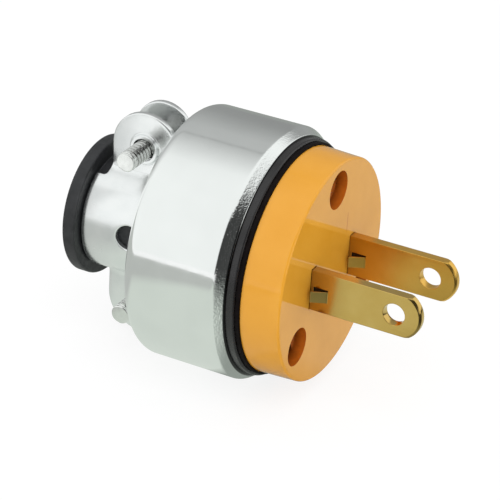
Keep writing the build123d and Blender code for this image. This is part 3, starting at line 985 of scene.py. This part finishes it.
def rolled_brass(name, dull, bright, gloss, skin_y):
    """Brass with rolling lines along X, its colour drifting between two tones.

    It has a painted shade near the face, but not on the tab, which stands out of the blade's skin at
    skin_y.
    """
    brass = Finish(name, Metallic=1.0)
    grain = brass.stretched(GRAIN_STRETCH)
    unshaded_brass = brass.drift(3.0, dull, bright)
    root_shade_colour = tuple(ROOT_SHADE * tone for tone in dull)
    blade = brass.mixed(brass.along(FORWARDS, 0.0, ROOT_SHADE_REACH), root_shade_colour, unshaded_brass)
    on_tab = brass.along(TO_FAR, skin_y, skin_y - TAB_UNSHADED_FADE)
    brass.feed(brass.mixed(on_tab, blade, unshaded_brass), "Base Color")
    brass.feed(brass.drift(0.25, gloss, gloss + GLOSS_DRIFT, detail=4.0, place=grain), "Roughness")
    brass.bump(brass.noise(0.2, place=grain), rise=0.0004)
    return brass


terminals = [nodes[f"terminal_{kind}_{side}"] for kind in ("plate", "screw") for side in ("near", "far")]
pale = rolled_brass("pale_brass", (0.725, 0.48, 0.136), (0.77, 0.53, 0.17), 0.14, near_skin)
# The far blade's deeper orange is a painted reflection of the orange face.
painted_reflection_brass = rolled_brass("brass_with_painted_reflection", (0.9, 0.52, 0.1), (0.96, 0.58, 0.13), 0.28, far_skin)
dress([blade_near, *terminals], pale)
dress([blade_far], painted_reflection_brass)

# %% Slits behind the tabs
# Painted shadow: the faces sunk behind each tab are painted nearly black.
SLIT_X = (0.3, 3.5)
SLIT_HALF_HEIGHT = 2.0
SLIT_DEPTHS = (0.02, 0.45)
SLIT_SHADOW_BROWNS = (0.3, (0.015, 0.006, 0.002), (0.04, 0.02, 0.006))
slit_shadow = plain_finish("painted_slit_shadow", SLIT_SHADOW_BROWNS, (0.2, 0.5, 0.7), (0.1, 0.004))
for blade, skin in ((blade_near, near_skin), (blade_far, far_skin)):
    x, y, z = face_centres(blade).T
    sunk = (y - skin > SLIT_DEPTHS[0]) & (y - skin < SLIT_DEPTHS[1]) & (np.abs(z) < SLIT_HALF_HEIGHT)
    dress_faces(blade, sunk & (x > SLIT_X[0]) & (x < SLIT_X[1]), slit_shadow)

# %% [markdown]
# ## Studio
# The photograph shows the plug in a light tent on pure white.  The floor and the world are white to the
# camera and in reflections.  More light on the floor could whiten it too, but it would bleach the plug,
# so the floor keeps its shadow as a matt sheet and adds a glow that lights nothing.


# %% Floor
def stage_mesh(name, points, wrap_columns=False):
    """Stage object from one grid of points in mm."""
    mesh = mesh_from_patches(name, [grid_patch(points, False, wrap_columns)])
    mesh.shade_smooth()
    item = bpy.data.objects.new(name, mesh)
    bpy.context.scene.collection.objects.link(item)
    item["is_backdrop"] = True
    print(f"{name}: stage, {len(mesh.polygons)} faces")
    return item


def flat_grid(x_ends, y_ends, z):
    """Flat rectangle at height z."""
    x, y = np.meshgrid(x_ends, y_ends, indexing="ij")
    return np.stack([x, y, 0 * x + z], axis=-1)


FLOOR_ENDS = (-3000.0, 3000.0)
FLOOR_GAP = 0.05
floor_z = cad_low[2] / MM - FLOOR_GAP
floor = stage_mesh("floor", flat_grid(FLOOR_ENDS, FLOOR_ENDS, floor_z))


def seen_directly(tree):
    """1 for camera, glossy and transmission rays, and 0 for the diffuse ones that light the plug."""
    path = tree.nodes.new("ShaderNodeLightPath").outputs
    total = path["Is Camera Ray"]
    for kind in ("Is Glossy Ray", "Is Transmission Ray"):
        total = add_node(tree, "Math", {0: total, 1: path[kind]}, operation="MAXIMUM")
    return total


FLOOR_PAPER = (0.9, 0.9, 0.9, 1)
FLOOR_WHITE = 0.8
FLOOR_GLOW = 1.06
paper = Patterns("white_floor")
tree = paper.tree
matt = add_node(tree, "BsdfDiffuse", {"Color": FLOOR_PAPER})
glow = add_node(tree, "Emission", {"Strength": FLOOR_GLOW})
share = add_node(tree, "Math", {0: seen_directly(tree), 1: FLOOR_WHITE}, operation="MULTIPLY")
paper.use_shader(add_node(tree, "MixShader", {0: share, 1: matt, 2: glow}))
floor.data.materials.append(paper.material)

# %% World
AMBIENT = 0.8
world = bpy.data.worlds.new("white_room")
world.use_nodes = True
bpy.context.scene.world = world
sky = world.node_tree
lit = {"Value": seen_directly(sky), "To Min": AMBIENT, "To Max": 1.0}
level = add_node(sky, "MapRange", lit, "Result")
sky.nodes["Background"].inputs["Color"].default_value = (1, 1, 1, 1)
sky.links.new(level, sky.nodes["Background"].inputs["Strength"])
print("world: white, and", AMBIENT, "as light on the plug")

# %% [markdown]
# ### What the metal mirrors
# Metal is only as good as what it mirrors.  A picture of a room could be wrapped round the plug, but a
# few glowing cards that nothing except reflections can see are easier to steer.  The tent is bright in
# front and overhead and grey behind, with a dark flag low on the right.  The table is grey-green and
# darkens towards the flag, and a dark floor goes on where it ends.  A small reflector with soft edges
# whitens the upper ear of the clamp.

# %% Cards that only reflections see
TO_RIGHT = (0.9, -0.43, 0)
WHITE = (1.0, 1.0, 1.0)
CLOTH_TINT = (1.0, 1.02, 1.01)


class Card(Patterns):
    """Glowing stage object for reflections, whose tone follows its Object coordinates."""

    step = "LINEAR"

    def __init__(self, name, points, wrap_columns=False):
        super().__init__(name)
        item = stage_mesh(name, points, wrap_columns)
        item.visible_camera = False
        item.visible_diffuse = False
        item.visible_shadow = False
        item.visible_transmission = False
        item.data.materials.append(self.material)

    def shade(self, factor, tone):
        """White where the factor is 0, and a tone where it is 1."""
        return self.tones(factor, (0.0, WHITE), (1.0, tone))

    def show(self, colour, cover=1.0):
        """Glow in a colour, and let the view through where the cover is under 1."""
        glow = add_node(self.tree, "Emission", {"Color": colour})
        clear = add_node(self.tree, "BsdfTransparent", {})
        self.use_shader(add_node(self.tree, "MixShader", {0: cover, 1: clear, 2: glow}))


def grey(tone):
    """Tone of the tent's cloth, which is a little green."""
    return tuple(tone * tint for tint in CLOTH_TINT)


# %% Tent
TENT_R = 900.0
TENT_TONES = (
    (0.0, 0.97), (0.4, 0.95), (0.48, 0.92), (0.594, 0.7), (0.688, 0.51), (0.7, 0.38), (0.712, 0.5),
    (0.795, 0.477), (0.871, 0.39), (0.927, 0.314), (0.956, 0.296), (1.0, 0.36),
)
FLAG_TONE = 0.05
FLAG_RIGHT, FLAG_TOP = (0.12, 0.3), (0.79, 0.71)
FLAG_END, FLAG_BACK = (0.92, 0.82), (0.45, 0.25)
RIGHT_TONE = 0.95
BRIGHT_RIGHT = (-0.25, -0.05)


def dome_grid(radius, z, rows=48, columns=96):
    """Upper hemisphere about (0, 0, z): polar angle down the rows, azimuth along the columns."""
    polar = np.linspace(0, pi / 2, rows)[:, None]
    azimuth = np.linspace(0, 2 * pi, columns, endpoint=False)[None, :]
    x = radius * np.sin(polar) * np.cos(azimuth)
    y = radius * np.sin(polar) * np.sin(azimuth)
    return np.stack([x, y, z + radius * np.cos(polar) + 0 * azimuth], axis=-1)


tent = Card("tent", dome_grid(TENT_R, floor_z), True)


def tent_part(direction, shares):
    """0 to 1 between two shares of the tent's radius along a direction."""
    return tent.along(direction, shares[0] * TENT_R, shares[1] * TENT_R)


cloth = tent.tones(tent_part(TO_FAR, (-1, 1)), *[(at, grey(tone)) for at, tone in TENT_TONES])
walls = tent.mixed(tent_part(TO_RIGHT, BRIGHT_RIGHT), cloth, grey(RIGHT_TONE))
on_flag = tent.times(
    tent_part(UPWARDS, FLAG_TOP),
    tent_part(TO_RIGHT, FLAG_RIGHT),
    tent_part(FORWARDS, FLAG_END),
    tent_part(TO_FAR, FLAG_BACK),
)
tent.show(tent.mixed(on_flag, walls, grey(FLAG_TONE)))

# %% Table top
GREEN_TABLE, DIM_TABLE, DARK_TABLE = (0.65, 0.7, 0.645), (0.33, 0.35, 0.33), (0.08, 0.08, 0.08)
SIDE_TONES = ((0.0, GREEN_TABLE), (0.48, GREEN_TABLE), (0.74, DIM_TABLE), (0.95, DARK_TABLE))
SIDE_REACH = 54.0
FRONT_TONES = (
    (0.0, GREEN_TABLE), (0.2, GREEN_TABLE), (0.45, DIM_TABLE), (0.62, DIM_TABLE), (0.95, DARK_TABLE),
)
FRONT_REACH = 130.0
FRONT_FROM = (40.0, 50.0)
BEHIND_FROM, BEHIND_TONE = (85.0, 110.0), 0.62
REAR_FROM, REAR_TINT = (38.0, 48.0), (0.78, 0.75, 0.78)
FACE_SHADE_AXIS = (0.781, 0.625, 0)
FACE_SHADE_FROM, FACE_SHADE_Y = (-17.5, -15.0), (-6.0, 2.0)
FACE_SHADE_TONE = 0.46
TABLE_EDGE_Y = -235.0
table_z = floor_z + FLOOR_GAP / 2
table = Card("table_top", flat_grid((-TENT_R, TENT_R), (TABLE_EDGE_Y, TENT_R), table_z))
beside = table.tones(table.along(TO_RIGHT, 0.0, SIDE_REACH), *SIDE_TONES)
in_front = table.tones(table.along(TO_RIGHT, 0.0, FRONT_REACH), *FRONT_TONES)
across = table.mixed(table.along(TO_NEAR, *FRONT_FROM), beside, in_front)
behind = table.shade(table.along(TO_FAR, *BEHIND_FROM), grey(BEHIND_TONE))
to_rear = table.shade(table.along(BACKWARDS, *REAR_FROM), REAR_TINT)
by_face = table.times(table.along(FACE_SHADE_AXIS, *FACE_SHADE_FROM), table.along(TO_NEAR, *FACE_SHADE_Y))
in_shade = table.shade(by_face, grey(FACE_SHADE_TONE))
table.show(table.times(across, behind, to_rear, in_shade))

# %% Dark floor in front on the right
DARK_FLOOR_FROM = (60.0, 120.0)
dark_floor = Card("dark_floor", flat_grid((DARK_FLOOR_FROM[0], TENT_R), (-TENT_R, TABLE_EDGE_Y), table_z))
dark_floor.show(dark_floor.shade(dark_floor.along(FORWARDS, *DARK_FLOOR_FROM), DARK_TABLE))

# %% Small reflector beside the upper ear
REFLECTOR_X = (-46.0, -24.0)
REFLECTOR_Z = (0.0, 18.0)
REFLECTOR_Y = -12.6
REFLECTOR_FADE = 4.0
REFLECTOR_SHADE = (-38.5, -36.6)
REFLECTOR_TONES = ((0.0, grey(0.72)), (1.0, grey(0.97)))
x, z = np.meshgrid(REFLECTOR_X, REFLECTOR_Z, indexing="ij")
reflector = Card("ear_reflector", np.stack([x, 0 * x + REFLECTOR_Y, z], axis=-1))
tone = reflector.tones(reflector.along(FORWARDS, *REFLECTOR_SHADE), *REFLECTOR_TONES)
spans = ((FORWARDS, REFLECTOR_X), (UPWARDS, REFLECTOR_Z))
borders = [
    reflector.along(axis, edge, edge + inwards * REFLECTOR_FADE)
    for axis, ends in spans for edge, inwards in zip(ends, (1, -1))
]
reflector.show(tone, reflector.times(*borders))

# %% [markdown]
# ### Lamp
# One wide round softbox high in front gives the soft shading and the shadow under the plug.  Several
# small lamps would draw as many shadows.  Reflections leave it out, because the cards already say what the
# metal mirrors.


# %% Lamp
def looking(axes, at):
    """Matrix of an object at a place in mm, with its x, y and z axes given as rows."""
    turn = np.stack(axes).T
    return Matrix([[*row, offset * MM] for row, offset in zip(turn, at)] + [[0, 0, 0, 1]])


LAMP_AT = np.array([150.0, -350.0, 600.0])
LAMP_SIZE = 500.0
LAMP_POWER = 1.4
lamp = bpy.data.objects.new("overhead_softbox", bpy.data.lights.new("overhead_softbox", "AREA"))
lamp.data.shape = "DISK"
lamp.data.size = LAMP_SIZE * MM
lamp.data.energy = LAMP_POWER
lamp_back = LAMP_AT / np.linalg.norm(LAMP_AT)
lamp_side = np.cross(UPWARDS, lamp_back)
lamp_side /= np.linalg.norm(lamp_side)
lamp.matrix_world = looking([lamp_side, np.cross(lamp_back, lamp_side), lamp_back], LAMP_AT)
lamp.visible_glossy = False
bpy.context.scene.collection.objects.link(lamp)
print("lamp:", LAMP_POWER, "W at", LAMP_AT, "mm")

# %% [markdown]
# ## Camera
# A camera fitted to the blades' known size stands in front of the plug, above it and a little to the
# right, and leans by a few degrees.  Its angles are named here, and the three axes follow from them.

# %% Camera
EYE = np.array([112.74, -258.22, 149.96])
AZIMUTH, ELEVATION, LEAN = radians(26.04), radians(27.66), radians(3.665)
LENS = 158.4
SENSOR = 36.0
CLIP_START = 10.0
back = np.array([sin(AZIMUTH) * cos(ELEVATION), -cos(AZIMUTH) * cos(ELEVATION), sin(ELEVATION)])
level_right = np.array([cos(AZIMUTH), sin(AZIMUTH), 0])
level_up = np.cross(back, level_right)
right = cos(LEAN) * level_right + sin(LEAN) * level_up
camera = bpy.data.objects.new("camera", bpy.data.cameras.new("camera"))
camera.data.lens = LENS
camera.data.sensor_width = SENSOR
camera.data.clip_start = CLIP_START * MM
camera.matrix_world = looking([right, np.cross(back, right), back], EYE)
bpy.context.scene.collection.objects.link(camera)
bpy.context.scene.camera = camera
bpy.context.scene.view_settings.view_transform = "Standard"
print("camera looks along", np.round(-back, 3))

# %% [markdown]
# ## Sizes
# Dressing must not make the plug larger than its CAD box, so both boxes are written down before the end.

# %% Sizes and finish
low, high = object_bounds()
print("visual box in mm:", [round((b - a) / MM, 2) for a, b in zip(low, high)])
